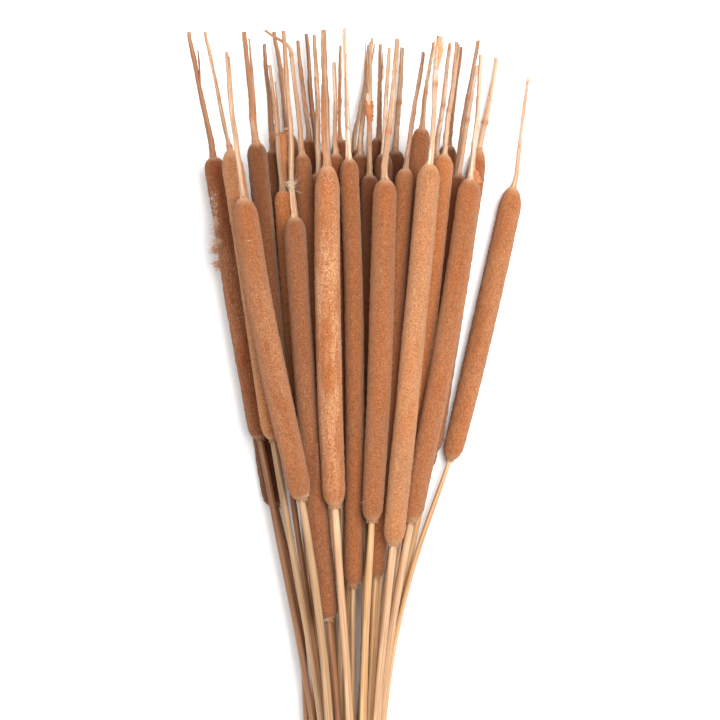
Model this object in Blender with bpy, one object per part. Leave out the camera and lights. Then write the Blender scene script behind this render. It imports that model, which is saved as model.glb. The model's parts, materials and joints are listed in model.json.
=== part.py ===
"""A fanned bunch of dried cattails, lying on a flat surface as it was put down.

Every cattail is one solid, from the cut end of its stalk through the seed head to the bare spike above it.
X runs across the fan, Y from the cut ends to the spikes, Z up.
"""

import itertools
import math
from typing import NamedTuple

import bpy
import numpy as np

# The tables below are in millimetres, and the model is in metres
MM = 0.001

# Lengths along the bunch, measured from the waist where the fan starts to open
STALK_BELOW_WAIST = 290.0
NECK_BELOW_WAIST = 120.0

# The cut ends don't line up: each is moved along by up to this much, by the sine of its number times the turn
CUT_STAGGER = 11.0
STAGGER_TURN = 2.4

# Width of the bunch at its neck and at the cut ends, as shares of its width at the waist
NECK_SHARE = 1.0
FOOT_SHARE = 1.2

# Thicknesses, as shares of the seed head's width
STALK_SHARE = 0.33
SPIKE_BASE_SHARE = 0.28
SPIKE_TIP_SHARE = 0.18
STALK_TOP_SHARE = 0.9

# Rounding of a seed head's ends: distance from the end in head widths, radius as a share of the head's radius
BASE_ROUNDING = ((0.0, 0.55), (0.2, 0.84), (0.7, 0.98))
TOP_ROUNDING = ((0.75, 0.94), (0.2, 0.7), (0.0, 0.34))

# Rings at the full radius, as shares of the head's length, and the short steps in and out of the head
HEAD_MIDDLES = (0.35, 0.68)
STEP_IN = 1.0
STEP_OUT = 1.5

# Facets round each cattail come from the bevel resolution, 4 + 2 x 2 = 8
BEVEL_RESOLUTION = 2
STALK_RINGS = 5

# Room left between cattails that lie on each other, and the slices in which they are compared
LAY_GAP = 0.5
SLICE = 2.0

# A row of stalks is this thick, and grows to the thickness of its heads over this length
STALK_ROW = 5.6
ROW_SWELL = 150.0

# Where a row grows by less than this, it says nothing about how far a head can sink into it
LEAST_SWELL = 1.5

# Colours of the dried plant, linear
HEAD_BROWN = (0.33, 0.125, 0.045, 1.0)
HEAD_ROUGHNESS = 0.95


class Cattail(NamedTuple):
    """One cattail seen from above, in millimetres from the middle of the waist.

    tip, top and base are the ends of the spike and of the seed head, waist is where the stalk passes the
    waist, bow and sway are how far the middles of head and stalk leave a straight line, spike is the spike's
    thickness against the usual one, and kink is a corner where a broken spike turns.
    """

    name: str
    tip: tuple
    top: tuple
    base: tuple
    waist: float
    width: float
    bow: float = 0.0
    sway: float = 0.0
    stalk: float = 0.0
    spike: float = 1.0
    kink: tuple = ()


# The rows lie on each other, bottom row first, and each runs from left to right without crossing itself
ROWS = (
    (
        Cattail("cattail_middle_5", (-42, 414.5), (-34, 355), (-24, 174), -17.0, 11.7),
        Cattail("cattail_back_3", (-23, 413.5), (-17.5, 345), (-6.5, 160), -9.0, 11.0),
        Cattail("cattail_back_5", (17.5, 410.5), (5.5, 344.5), (6.5, 150), -4.0, 11.0, spike=0.85),
        Cattail("cattail_back_9", (36, 405), (31, 343), (24, 150), 9.0, 12.0),
        Cattail("cattail_back_11", (70, 405.5), (63.5, 347), (41, 172), 14.0, 11.5),
        Cattail("cattail_middle_14", (92.5, 398.5), (82, 344.5), (53, 160), 20.0, 11.5),
    ),
    (
        Cattail("cattail_middle_4", (-48, 407), (-43, 344.5), (-27, 159), -16.0, 10.5, spike=1.3),
        Cattail("cattail_back_2", (-28, 409), (-21, 350), (-11, 168), -8.0, 11.0),
        Cattail("cattail_back_4", (-2.5, 406), (-2.5, 350), (2, 168), 0.0, 11.0, spike=0.8),
        Cattail("cattail_back_7", (22, 407), (21.5, 351), (14.5, 162), 11.5, 11.5, sway=0.5),
        Cattail("cattail_back_12", (81, 409), (66, 323.5), (44, 146), 17.0, 11.5),
    ),
    (
        Cattail("cattail_back_1", (-69.5, 339), (-70, 318), (-42, 128), -22.5, 13.0, sway=6.0),
        Cattail("cattail_middle_6", (-44.5, 394), (-37, 319), (-25, 150), -14.0, 10.8),
        Cattail("cattail_middle_8", (-17, 412), (-15.5, 329.5), (-8, 144), -5.8, 13.0),
        Cattail("cattail_back_6", (15, 406), (9.5, 341.5), (6.5, 156), -1.0, 11.5),
        Cattail("cattail_back_8", (27, 404.5), (24, 342), (19.5, 156), 9.7, 11.0),
        Cattail("cattail_middle_12", (64, 407.5), (56, 340), (38, 172), 14.65, 12.0),
        Cattail("cattail_back_13", (80.5, 393.5), (69, 329), (49.5, 150), 19.5, 11.5, sway=-3.0),
        Cattail("cattail_front_8", (111.5, 387), (103, 321.5), (64, 155.5), 23.6, 13.8, 0.9, -7.0, 3.2, 0.7),
    ),
    (
        Cattail("cattail_middle_1", (-94, 414), (-79, 339.5), (-50.5, 168), -18.4, 12.6, bow=-1.0),
        Cattail("cattail_middle_3", (-60, 414), (-53, 347.5), (-34, 156), -12.2, 12.0, spike=1.2),
        Cattail("cattail_middle_7", (-48, 414), (-25, 341), (-14, 150), -7.0, 10.5, kink=(-32, 405.5)),
        Cattail("cattail_middle_9", (-6, 395.5), (-5, 341.5), (-1, 150), -2.6, 11.0),
        Cattail("cattail_middle_10", (16, 408), (15.5, 329), (12, 132), 10.4, 11.0, sway=1.4),
        Cattail("cattail_middle_11", (54, 407.5), (47, 356), (28, 172), 15.6, 11.0),
        Cattail("cattail_middle_13", (68.5, 408), (60.5, 340), (41.5, 164), 20.5, 12.5, sway=-2.0),
    ),
    (
        Cattail("cattail_middle_2", (-83, 413.5), (-68.5, 343), (-42.5, 168.5), -13.4, 13.2, 0.6, spike=0.7),
        Cattail("cattail_front_2", (-36, 414), (-30, 302.5), (-9, 60), -3.0, 13.2, bow=-2.4),
        Cattail("cattail_front_4", (0.5, 416), (3, 338), (5.5, 80.5), 5.4, 11.7, bow=2.7),
        Cattail("cattail_back_10", (47.5, 401.5), (37, 333), (19, 85), 15.2, 11.5),
        Cattail("cattail_front_7", (83, 399.5), (77, 326.5), (40, 119.5), 21.4, 14.4, 2.7, -1.5),
    ),
    (
        Cattail("cattail_front_1", (-71.5, 401), (-61, 314.5), (-25, 132), -8.4, 15.4, -2.7, 1.4, spike=0.8),
        Cattail("cattail_front_3", (-12.5, 414.5), (-10, 334), (-5.5, 128), 3.8, 15.3, bow=-1.8),
        Cattail("cattail_front_5", (32.5, 409), (24.5, 325), (16.8, 120), 11.4, 14.6, 1.5, -0.9),
        Cattail("cattail_front_6", (57, 411), (51.5, 334), (29.4, 105), 19.0, 14.0, bow=0.6, spike=0.88),
    ),
)


class Solid(NamedTuple):
    """A cattail's rings, foot to tip: place along and across the bunch, and radius."""

    name: str
    along: np.ndarray
    across: np.ndarray
    radius: np.ndarray


def clear_scene():
    for thing in list(bpy.data.objects):
        bpy.data.objects.remove(thing, do_unlink=True)


def eased(share):
    """0 to 1 with a soft start and end."""
    share = np.clip(share, 0.0, 1.0)
    return share * share * (3 - 2 * share)


def smooth_through(along, knots_along, knots_across):
    """A smooth line through the knots, read at the places given: cubic pieces with shared slopes."""
    slopes = np.gradient(knots_across, knots_along)
    piece = np.clip(np.searchsorted(knots_along, along) - 1, 0, len(knots_along) - 2)
    step = knots_along[piece + 1] - knots_along[piece]
    t = (along - knots_along[piece]) / step
    start = (1 + 2 * t) * (1 - t) ** 2 * knots_across[piece] + t * (1 - t) ** 2 * step * slopes[piece]
    end = t**2 * (3 - 2 * t) * knots_across[piece + 1] - t**2 * (1 - t) * step * slopes[piece + 1]
    return start + end


def plan_line(cattail, foot, along):
    """Where the cattail lies across the bunch, at each place along it."""
    base_x, base_y = cattail.base
    top_x, top_y = cattail.top
    knots = [
        (foot, cattail.waist * FOOT_SHARE),
        (-NECK_BELOW_WAIST, cattail.waist * NECK_SHARE),
        (0.0, cattail.waist),
        (base_y / 2, (cattail.waist + base_x) / 2 + cattail.sway),
        (base_y, base_x),
        ((base_y + top_y) / 2, (base_x + top_x) / 2 + cattail.bow),
        (top_y, top_x),
    ]
    knots_along, knots_across = np.array(knots).T
    return smooth_through(along, knots_along, knots_across)


def rings(cattail, number):
    """The rings of one cattail, from the cut end of the stalk to the tip of the bare spike."""
    width = cattail.width
    head = width / 2
    stalk = (cattail.stalk or width * STALK_SHARE) / 2
    spike = width * SPIKE_BASE_SHARE / 2 * cattail.spike
    tip = width * SPIKE_TIP_SHARE / 2 * cattail.spike
    base, top = cattail.base[1], cattail.top[1]
    foot = -STALK_BELOW_WAIST + CUT_STAGGER * math.sin(STAGGER_TURN * number)

    neck = -NECK_BELOW_WAIST
    profile = [(foot, stalk)]
    profile += [(neck + (base - neck) * k / STALK_RINGS, stalk) for k in range(STALK_RINGS)]
    profile.append((base - STEP_IN, stalk * STALK_TOP_SHARE))
    profile += [(base + away * width, head * share) for away, share in BASE_ROUNDING]
    profile += [(base + (top - base) * share, head) for share in HEAD_MIDDLES]
    profile += [(top - away * width, head * share) for away, share in TOP_ROUNDING]
    profile.append((top + STEP_OUT, spike))
    along, radius = np.array(profile).T
    across = plan_line(cattail, foot, along)
    ends = [point for point in (cattail.kink, cattail.tip) if point]
    along = np.append(along, [point[1] for point in ends])
    across = np.append(across, [point[0] for point in ends])
    radius = np.append(radius, [tip] * len(ends))
    return Solid(cattail.name, along, across, radius)


def row_heights(places):
    """The highest that each row can lie: its middle, on top of the full thickness of the rows below."""
    heights = []
    below = np.zeros_like(places)
    for row in ROWS:
        lowest_head = min(cattail.base[1] for cattail in row)
        swell = max(cattail.width for cattail in row) + LAY_GAP - STALK_ROW
        thickness = STALK_ROW + swell * eased((places - lowest_head) / ROW_SWELL + 1)
        heights.append(below + thickness / 2)
        below = below + thickness
    return heights


def height_needed(places, across, radius, laid):
    """How high each slice has to lie to clear the surface and the cattails laid down before."""
    needed = np.where(np.isnan(across), np.nan, radius)
    leans = np.gradient(across, places)
    for other_across, other_radius, other_height in laid:
        reach = radius + other_radius + LAY_GAP
        lean = np.fmax(np.abs(leans), np.abs(np.gradient(other_across, places)))
        apart = (across - other_across) * np.cos(np.arctan(lean))
        over = other_height + np.sqrt(np.maximum(reach**2 - apart**2, 0))
        meets = (np.abs(apart) < reach) & (over > needed)
        needed = np.where(meets, over, needed)
    return needed


def lay_down(rows):
    """The resting height of every ring.

    A cattail's stalk lies in its row, and its head sinks below the row's full height until it touches.
    """
    ends = [solid.along[[0, -1]] for row in rows for solid in row]
    places = np.arange(np.min(ends), np.max(ends) + SLICE, SLICE)
    laid, ring_heights = [], []
    for number, (row, highest) in enumerate(zip(rows, row_heights(places))):
        stalk_level = (number + 0.5) * STALK_ROW
        swell = highest - stalk_level
        laid_in_row = []
        for solid in row:
            across = np.interp(places, solid.along, solid.across, left=np.nan, right=np.nan)
            radius = np.interp(places, solid.along, solid.radius)
            needed = height_needed(places, across, radius, laid)
            share = (needed - stalk_level) / np.maximum(swell, LEAST_SWELL)
            sunk = np.nanmax(np.where(swell > LEAST_SWELL, share, np.nan))
            at_rings = np.interp(solid.along, places, stalk_level + sunk * swell)
            laid_in_row.append((across, radius, np.interp(places, solid.along, at_rings)))
            ring_heights.append(at_rings)
        laid += laid_in_row
    return ring_heights


def head_material():
    material = bpy.data.materials.new("dried_cattail")
    material.use_nodes = True
    shader = material.node_tree.nodes["Principled BSDF"]
    shader.inputs["Base Color"].default_value = HEAD_BROWN
    shader.inputs["Roughness"].default_value = HEAD_ROUGHNESS
    shader.inputs["Metallic"].default_value = 0.0
    return material


def cattail_object(solid, heights, centre, collection, bunch, material):
    """One closed tube whose radius follows the rings."""
    curve = bpy.data.curves.new(solid.name, "CURVE")
    curve.dimensions = "3D"
    curve.bevel_depth = MM
    curve.bevel_resolution = BEVEL_RESOLUTION
    curve.use_fill_caps = True
    spline = curve.splines.new("POLY")
    spline.points.add(len(solid.along) - 1)
    foot = np.array([solid.across[0], solid.along[0], heights[0]])
    line = np.column_stack([solid.across, solid.along, heights]) - foot
    for point, place, radius in zip(spline.points, line * MM, solid.radius):
        point.co = (*place, 1.0)
        point.radius = radius
    curve.materials.append(material)
    cattail = bpy.data.objects.new(solid.name, curve)
    cattail.location = (foot - centre) * MM
    cattail.parent = bunch
    collection.objects.link(cattail)
    return cattail


def bottom_centre(solids, heights):
    """Middle of the bunch's box, at the surface it lies on."""
    low_x = min((s.across - s.radius).min() for s in solids)
    high_x = max((s.across + s.radius).max() for s in solids)
    low_y = min(s.along[0] for s in solids)
    high_y = max(s.along[-1] for s in solids)
    low_z = min((h - s.radius).min() for s, h in zip(solids, heights))
    return np.array([(low_x + high_x) / 2, (low_y + high_y) / 2, low_z])


def main():
    clear_scene()
    collection = bpy.data.collections.new("cattail_bunch")
    bpy.context.scene.collection.children.link(collection)
    bunch = bpy.data.objects.new("bunch", None)
    collection.objects.link(bunch)

    number = itertools.count()
    rows = [[rings(cattail, next(number)) for cattail in row] for row in ROWS]
    heights = lay_down(rows)
    solids = [solid for row in rows for solid in row]
    centre = bottom_centre(solids, heights)
    material = head_material()
    for solid, height in zip(solids, heights):
        cattail_object(solid, height, centre, collection, bunch, material)


main()
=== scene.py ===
"""The looks of a fanned bunch of dried cattails, lying on a pale floor and seen from straight above.

Each cattail is dressed in three pieces that follow its solid: a felted seed head with short bristles and
ragged collars, a ribbed straw stalk with a cut end, and the bare spike above the head with its split strands.
Tufts, husks and shreds are pieces of their own.
"""

import json
import math
from typing import NamedTuple

import bpy
import numpy as np
from bpy.props import FloatProperty, FloatVectorProperty, PointerProperty
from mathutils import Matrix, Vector

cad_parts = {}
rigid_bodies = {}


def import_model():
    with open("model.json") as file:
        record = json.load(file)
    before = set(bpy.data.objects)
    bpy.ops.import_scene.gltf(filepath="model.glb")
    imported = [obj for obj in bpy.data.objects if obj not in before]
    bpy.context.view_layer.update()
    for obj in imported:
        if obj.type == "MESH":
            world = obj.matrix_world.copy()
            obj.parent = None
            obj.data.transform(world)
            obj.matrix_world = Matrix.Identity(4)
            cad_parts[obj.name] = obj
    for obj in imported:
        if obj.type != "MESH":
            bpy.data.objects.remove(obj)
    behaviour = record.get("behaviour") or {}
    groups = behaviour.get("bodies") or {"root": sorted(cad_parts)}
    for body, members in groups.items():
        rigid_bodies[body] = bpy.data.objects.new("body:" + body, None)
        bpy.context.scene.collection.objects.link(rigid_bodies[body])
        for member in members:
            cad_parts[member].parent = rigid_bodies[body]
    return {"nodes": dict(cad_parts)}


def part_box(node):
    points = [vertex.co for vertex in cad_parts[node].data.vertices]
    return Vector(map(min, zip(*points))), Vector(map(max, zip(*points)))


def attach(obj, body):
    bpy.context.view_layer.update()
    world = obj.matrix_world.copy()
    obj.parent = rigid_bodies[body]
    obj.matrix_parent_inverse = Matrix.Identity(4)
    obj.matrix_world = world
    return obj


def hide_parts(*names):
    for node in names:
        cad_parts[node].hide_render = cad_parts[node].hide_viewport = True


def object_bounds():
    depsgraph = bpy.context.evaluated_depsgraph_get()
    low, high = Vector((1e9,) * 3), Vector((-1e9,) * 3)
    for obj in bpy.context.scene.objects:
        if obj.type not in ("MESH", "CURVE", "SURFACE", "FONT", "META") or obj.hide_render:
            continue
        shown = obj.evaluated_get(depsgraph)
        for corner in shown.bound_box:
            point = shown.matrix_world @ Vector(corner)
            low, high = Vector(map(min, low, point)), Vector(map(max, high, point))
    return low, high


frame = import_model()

bl_info = {
    "name": "Dried cattail bunch",
    "version": (1, 0, 0),
    "blender": (4, 5, 0),
    "location": "3D View > Sidebar > Cattails",
    "description": "Dresses a bunch of dried cattails with felted heads, straw stalks and bare spikes",
    "category": "Object",
}

CAD_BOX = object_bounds()
MM = 0.001

# Slices in which a cattail's solid is read, and how far the first and last lie inside its ends
SLICE = 1.5 * MM
SLICE_INSET = 0.2 * MM

# How far a cattail's line is smoothed along stalk and spike, and over what length one gives way to the other
STALK_SMOOTHING = 14 * MM
SPIKE_SMOOTHING = 2.2 * MM
SMOOTHING_CHANGE = 8 * MM

# Distances from the head's ends at which the bare stalk and the bare spike are measured
BARE_STALK = 10 * MM
BARE_SPIKE = 6 * MM

# Length that one pixel of the photo shows, and the photo's side in pixels
PIXEL = 0.6 * MM
PHOTO_SIDE = 720


def linear(red, green, blue):
    """A colour given as screen values from 11 to 255, in linear light."""
    shares = (part / 255 for part in (red, green, blue))
    return tuple(((share + 0.055) / 1.055) ** 2.4 for share in shares)


def on_photo(pixel_x, pixel_y):
    """The place across and along the bunch that a point of the photo shows."""
    return BUNCH.photo_left + pixel_x * PIXEL, BUNCH.photo_top - pixel_y * PIXEL


class Finish(NamedTuple):
    """How one head looks: its tone and brightness, where a brightness well below 1 is painted shade for a
    head deep in the bunch, how frosted it is, and how long its bristle is.
    """

    tone: str
    light: float = 1.0
    frost: float = 0.0
    shaggy: float = 1.0


# A light below 1 is partly a head's own darker tone. At 0.66, on middle_3, middle_4, middle_10 and the heads
# left out, it is painted shade that darkens heads lying deep in the bunch.
FINISHES = {
    "front_1": Finish("cinnamon", 0.96, 0.3),
    "front_2": Finish("umber", 1.0, 0.1),
    "front_3": Finish("orange", 0.98, 0.9, 1.5),
    "front_4": Finish("cinnamon", 0.87),
    "front_5": Finish("cinnamon", 0.97, 0.1),
    "front_6": Finish("tan", 0.98, 0.3),
    "front_7": Finish("cinnamon", 1.05, 0.1),
    "front_8": Finish("orange", 0.97, 0.3),
    "middle_1": Finish("rust", 1.1, 0.3, 1.4),
    "middle_2": Finish("tan", 1.0, 0.1),
    "middle_3": Finish("umber", 0.66),
    "middle_4": Finish("umber", 0.66),
    "middle_5": Finish("orange", 0.85),
    "middle_6": Finish("orange", 1.5),
    "middle_7": Finish("umber", 1.05),
    "middle_8": Finish("cinnamon", 0.85),
    "middle_9": Finish("rust", 0.85),
    "middle_10": Finish("rust", 0.66),
    "middle_11": Finish("cinnamon", 0.88),
    "middle_12": Finish("tan", 1.1),
    "middle_13": Finish("orange", 1.12),
    "middle_14": Finish("orange", 0.85),
    "back_10": Finish("cinnamon", 0.95),
}
# Heads left out: rust darkened to 0.66 with painted shade, standing for the shade deep in the bunch.
RUST_PAINTED_SHADE_FINISH = Finish("rust", 0.66)

# Tones of the stalks that the photo shows
STALK_TONES = {
    "front_1": "straw", "front_2": "brown", "front_3": "pale", "front_4": "straw", "front_5": "golden",
    "front_6": "pale", "front_7": "pale", "front_8": "golden", "middle_1": "brown", "middle_2": "straw",
    "middle_3": "brown", "middle_4": "brown", "middle_11": "golden", "middle_12": "pale", "middle_13": "pale",
    "middle_14": "golden", "back_1": "brown", "back_10": "golden",
}


class Cattail(NamedTuple):
    """One cattail's solid as read from its slices, foot to tip, in metres."""

    name: str
    node: str
    along: np.ndarray
    line: np.ndarray
    foot: float
    base: float
    top: float
    tip: float
    head_radius: float
    stalk_radius: float
    spike_radius: float
    tip_radius: float
    seed: int


def smoothed(values, spread):
    """Values along a line, softened over a spread given in steps, with both ends kept."""
    reach = max(int(spread * 3), 1)
    kernel = np.exp(-0.5 * (np.arange(-reach, reach + 1) / spread) ** 2)
    padded = np.pad(values, reach, mode="reflect", reflect_type="odd")
    return np.convolve(padded, kernel / kernel.sum(), mode="valid")


def sections(node, places):
    """Middle and radius of a node's solid where planes across the bunch cut it."""
    mesh = bpy.data.objects[node].data
    points = np.empty(len(mesh.vertices) * 3)
    mesh.vertices.foreach_get("co", points)
    points = points.reshape(-1, 3)
    ends = np.empty(len(mesh.edges) * 2, dtype=int)
    mesh.edges.foreach_get("vertices", ends)
    first, second = points[ends[0::2]], points[ends[1::2]]
    middles, radii = [], []
    for place in places:
        crossing = (first[:, 1] - place) * (second[:, 1] - place) < 0
        start, end = first[crossing], second[crossing]
        share = (place - start[:, 1]) / (end[:, 1] - start[:, 1])
        cut = start + share[:, None] * (end - start)
        low, high = cut.min(axis=0), cut.max(axis=0)
        middles.append((low + high) / 2)
        radii.append((high[2] - low[2]) / 2)
    return np.array(middles), np.array(radii)


def read_cattail(node, seed):
    """Reads where a cattail's head starts and ends, and its line and thicknesses, from its solid."""
    low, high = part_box(node)
    foot, tip = low[1], high[1]
    places = np.linspace(foot + SLICE_INSET, tip - SLICE_INSET, int((tip - foot) / SLICE))
    middles, radii = sections(node, places)
    head_radius = radii.max()
    thick = places[radii > head_radius * 0.5]
    base, top = thick[0], thick[-1]
    step = places[1] - places[0]
    across, height = middles[:, 0], middles[:, 2]
    soft = np.array([smoothed(v, STALK_SMOOTHING / step) for v in (across, height)])
    crisp = np.array([smoothed(v, SPIKE_SMOOTHING / step) for v in (across, height)])
    on_spike = np.clip((places - top) / SMOOTHING_CHANGE, 0, 1)
    across, height = soft * (1 - on_spike) + crisp * on_spike
    line = np.column_stack([across, places, height])
    stalk = np.median(radii[places < base - BARE_STALK])
    spike = radii[np.searchsorted(places, top + BARE_SPIKE)]
    return Cattail(
        node.removeprefix("cattail_"), node, places, line, foot, base, top, tip,
        head_radius, stalk, spike, radii[-2], seed,
    )


# The spike tip of middle_1 as the photo shows it, which ties the photo's frame to the model
TIED_TIP = (188.3, 30.0)


class Bunch:
    """All cattails, and where the photo's frame lies over them."""

    def __init__(self):
        self.cattails = {}
        for seed, node in enumerate(sorted(frame["nodes"])):
            cattail = read_cattail(node, seed)
            self.cattails[cattail.name] = cattail
        tip = self.cattails["middle_1"].line[-1]
        self.photo_left = tip[0] - TIED_TIP[0] * PIXEL
        self.photo_top = tip[1] + TIED_TIP[1] * PIXEL


BUNCH = Bunch()


def ripples(points, scale, seed, waves=18):
    """Smooth random relief between about -1 and 1: sine waves of one scale in random directions."""
    chance = np.random.default_rng(seed)
    directions = chance.normal(size=(waves, 3))
    directions /= np.linalg.norm(directions, axis=1)[:, None]
    phases = chance.uniform(0, math.tau, waves)
    return np.sin(points @ directions.T * (math.tau / scale) + phases).sum(axis=1) * math.sqrt(1.0 / waves)


def line_at(cattail, places):
    """Points on the cattail's middle line, with the directions across and up that belong to them."""
    line = np.column_stack([np.interp(places, cattail.along, cattail.line[:, k]) for k in range(3)])
    ahead = np.gradient(cattail.line, cattail.along, axis=0)
    ahead = np.column_stack([np.interp(places, cattail.along, ahead[:, k]) for k in range(3)])
    ahead /= np.linalg.norm(ahead, axis=1)[:, None]
    side = np.cross(ahead, (0.0, 0.0, 1.0))
    side /= np.linalg.norm(side, axis=1)[:, None]
    return line, side, np.cross(side, ahead), ahead


def outward(side, up, angles):
    """Directions away from a line, at angles from its side towards its upper side."""
    return np.cos(angles)[:, None] * side + np.sin(angles)[:, None] * up


def around(cattail, places, angles, radii):
    """Points at an angle and a radius round the middle line."""
    line, side, up, _ = line_at(cattail, places)
    return line + outward(side, up, angles) * radii[:, None]


def ring_corners(places, facets):
    """The place along and the angle round of every corner of rings with a number of facets."""
    return np.repeat(places, facets), np.tile(np.arange(facets) * math.tau / facets, len(places))


def straightened(places, angles, radii, start):
    """The same points as if the cattail were straight, for patterns that follow it."""
    return np.column_stack([radii * np.cos(angles), radii * np.sin(angles), places - start])


def grid_faces(rows, columns, offset=0):
    """Quads of a tube of rings, each ring closed on itself."""
    row = np.arange(rows - 1)[:, None] * columns
    column = np.arange(columns)[None, :]
    after = (column + 1) % columns
    quads = np.stack([row + column, row + after, row + columns + after, row + columns + column], axis=-1)
    return quads.reshape(-1, 4) + offset


def cap_faces(ring, middle, flip):
    """Triangles that close a ring to a middle point."""
    after = np.roll(ring, -1)
    hub = np.full_like(ring, middle)
    pair = (after, ring) if flip else (ring, after)
    return np.stack([*pair, hub], axis=-1)


class Shape:
    """Points, faces and pattern coordinates gathered for one mesh."""

    def __init__(self):
        self.points, self.straight, self.tips = [], [], []
        self.quads, self.triangles, self.cut_triangles = [], [], []
        self.count = 0

    def add(self, points, straight, tips=None):
        offset = self.count
        self.points.append(points)
        self.straight.append(straight)
        self.tips.append(np.zeros(len(points)) if tips is None else tips)
        self.count += len(points)
        return offset

    def add_tube(self, rings, straight, cut_start=False, tips=None):
        """A closed tube from rings shaped (rows, columns, 3), with a point in the middle of each end."""
        rows, columns = rings.shape[:2]
        offset = self.add(rings.reshape(-1, 3), straight.reshape(-1, 3), tips)
        self.quads.append(grid_faces(rows, columns, offset))
        ends = self.add(
            np.array([rings[0].mean(axis=0), rings[-1].mean(axis=0)]),
            np.array([straight[0].mean(axis=0), straight[-1].mean(axis=0)]),
        )
        first = np.arange(columns) + offset
        start_cap = cap_faces(first, ends, True)
        (self.cut_triangles if cut_start else self.triangles).append(start_cap)
        self.triangles.append(cap_faces(first + (rows - 1) * columns, ends + 1, False))

    def build(self, name, materials):
        """Makes the mesh object, inside the solids' box."""
        points = np.concatenate(self.points)
        points = np.clip(points, np.array(CAD_BOX[0]), np.array(CAD_BOX[1]))
        quads = np.concatenate(self.quads)
        triangles = np.concatenate(self.triangles + self.cut_triangles)
        cut = sum(len(t) for t in self.cut_triangles)
        mesh = bpy.data.meshes.new(name)
        mesh.vertices.add(len(points))
        mesh.vertices.foreach_set("co", points.ravel())
        corners = np.concatenate([quads.ravel(), triangles.ravel()])
        mesh.loops.add(len(corners))
        mesh.loops.foreach_set("vertex_index", corners)
        sizes = np.concatenate([np.full(len(quads), 4), np.full(len(triangles), 3)])
        mesh.polygons.add(len(sizes))
        mesh.polygons.foreach_set("loop_start", np.concatenate([[0], np.cumsum(sizes)[:-1]]))
        mesh.polygons.foreach_set("use_smooth", np.ones(len(sizes), dtype=bool))
        for material in materials:
            mesh.materials.append(material)
        if cut:
            slots = np.zeros(len(sizes), dtype=int)
            slots[-cut:] = 1
            mesh.polygons.foreach_set("material_index", slots)
        straight = mesh.attributes.new("straight", "FLOAT_VECTOR", "POINT")
        straight.data.foreach_set("vector", np.concatenate(self.straight).ravel())
        tips = mesh.attributes.new("tip", "FLOAT", "POINT")
        tips.data.foreach_set("value", np.concatenate(self.tips))
        mesh.update()
        mesh.validate()
        piece = bpy.data.objects.new(name, mesh)
        bpy.context.scene.collection.objects.link(piece)
        return piece


def place_piece(shape, name, cattail, materials):
    """Builds a piece that stands for its cattail's solid."""
    piece = shape.build(name, materials)
    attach(piece, "root")
    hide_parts(cattail.node)


def rank(cattail):
    """0 for the cattails in front, 1 for the middle ones and 2 for those at the back."""
    return ("front", "middle", "back").index(cattail.name.split("_")[0])


# Seed heads

class HeadSettings(bpy.types.PropertyGroup):
    """Sizes and colours of the seed heads."""

    bristle_length: FloatProperty(
        name="Bristle length", description="Length of an ordinary bristle", default=0.6 * MM, unit="LENGTH",
    )
    bristle_width: FloatProperty(
        name="Bristle width", description="Width of a bristle at its root",
        default=0.26 * MM, unit="LENGTH",
    )
    felt_margin: FloatProperty(
        name="Felt margin", description="How far the felt lies inside the bristle tips", default=0.05 * MM,
        unit="LENGTH",
    )
    relief: FloatProperty(
        name="Relief", description="Depth of the lumps in the felt", default=0.13 * MM, unit="LENGTH",
    )
    cinnamon: FloatVectorProperty(
        name="Cinnamon", description="Felt of an ordinary head",
        default=linear(143, 87, 53), subtype="COLOR",
    )
    orange: FloatVectorProperty(
        name="Orange", description="Felt of the brightest heads",
        default=linear(156, 94, 55), subtype="COLOR",
    )
    tan: FloatVectorProperty(
        name="Tan", description="Felt of the palest heads", default=linear(165, 111, 75), subtype="COLOR",
    )
    umber: FloatVectorProperty(
        name="Umber", description="Felt of the greyest heads", default=linear(128, 77, 48), subtype="COLOR",
    )
    rust: FloatVectorProperty(
        name="Rust", description="Felt of the reddest heads", default=linear(122, 66, 37), subtype="COLOR",
    )
    frost: FloatVectorProperty(
        name="Frost", description="Pale tips on worn felt", default=linear(206, 160, 120), subtype="COLOR",
    )


# Facets round and along a head, and bristles on it, for front, middle and back
HEAD_FACETS = (60, 46, 36)
HEAD_RINGS = (165, 130, 100)
BRISTLES = (3400, 1900, 1000)

# A head's ends are rounded over these lengths, in head widths, from just outside the solid's ends
BASE_ROUNDING = 0.82
TOP_ROUNDING = 0.8
POINTED_TOPS = {
    "front_3": 1.25, "middle_14": 1.9, "middle_2": 1.2, "front_8": 1.0, "back_12": 1.4, "middle_1": 0.6,
}

# How much narrower some heads grow towards the base, as a share, and the share of their length that narrows
TAPERS = {"front_1": 0.08, "front_3": 0.1, "front_5": 0.17, "front_6": 0.09, "front_7": 0.1, "front_8": 0.12}
SLIGHT_TAPER = 0.03
TAPERED_LENGTH = 0.45

# Slow swells along a head, as a share of its radius, and the sizes of the lumps in its felt
SWELL = 0.018
SWELL_LENGTH = 32 * MM
LARGE_LUMPS = 5 * MM
SMALL_LUMPS = 2 * MM

# How far the felt reaches past the solid's head, in head widths
BASE_OVERHANG = 0.06
TOP_OVERHANG = 0.1

# How much the rings of a head crowd to its ends, from 0 to 1
RING_CROWDING = 0.4


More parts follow.
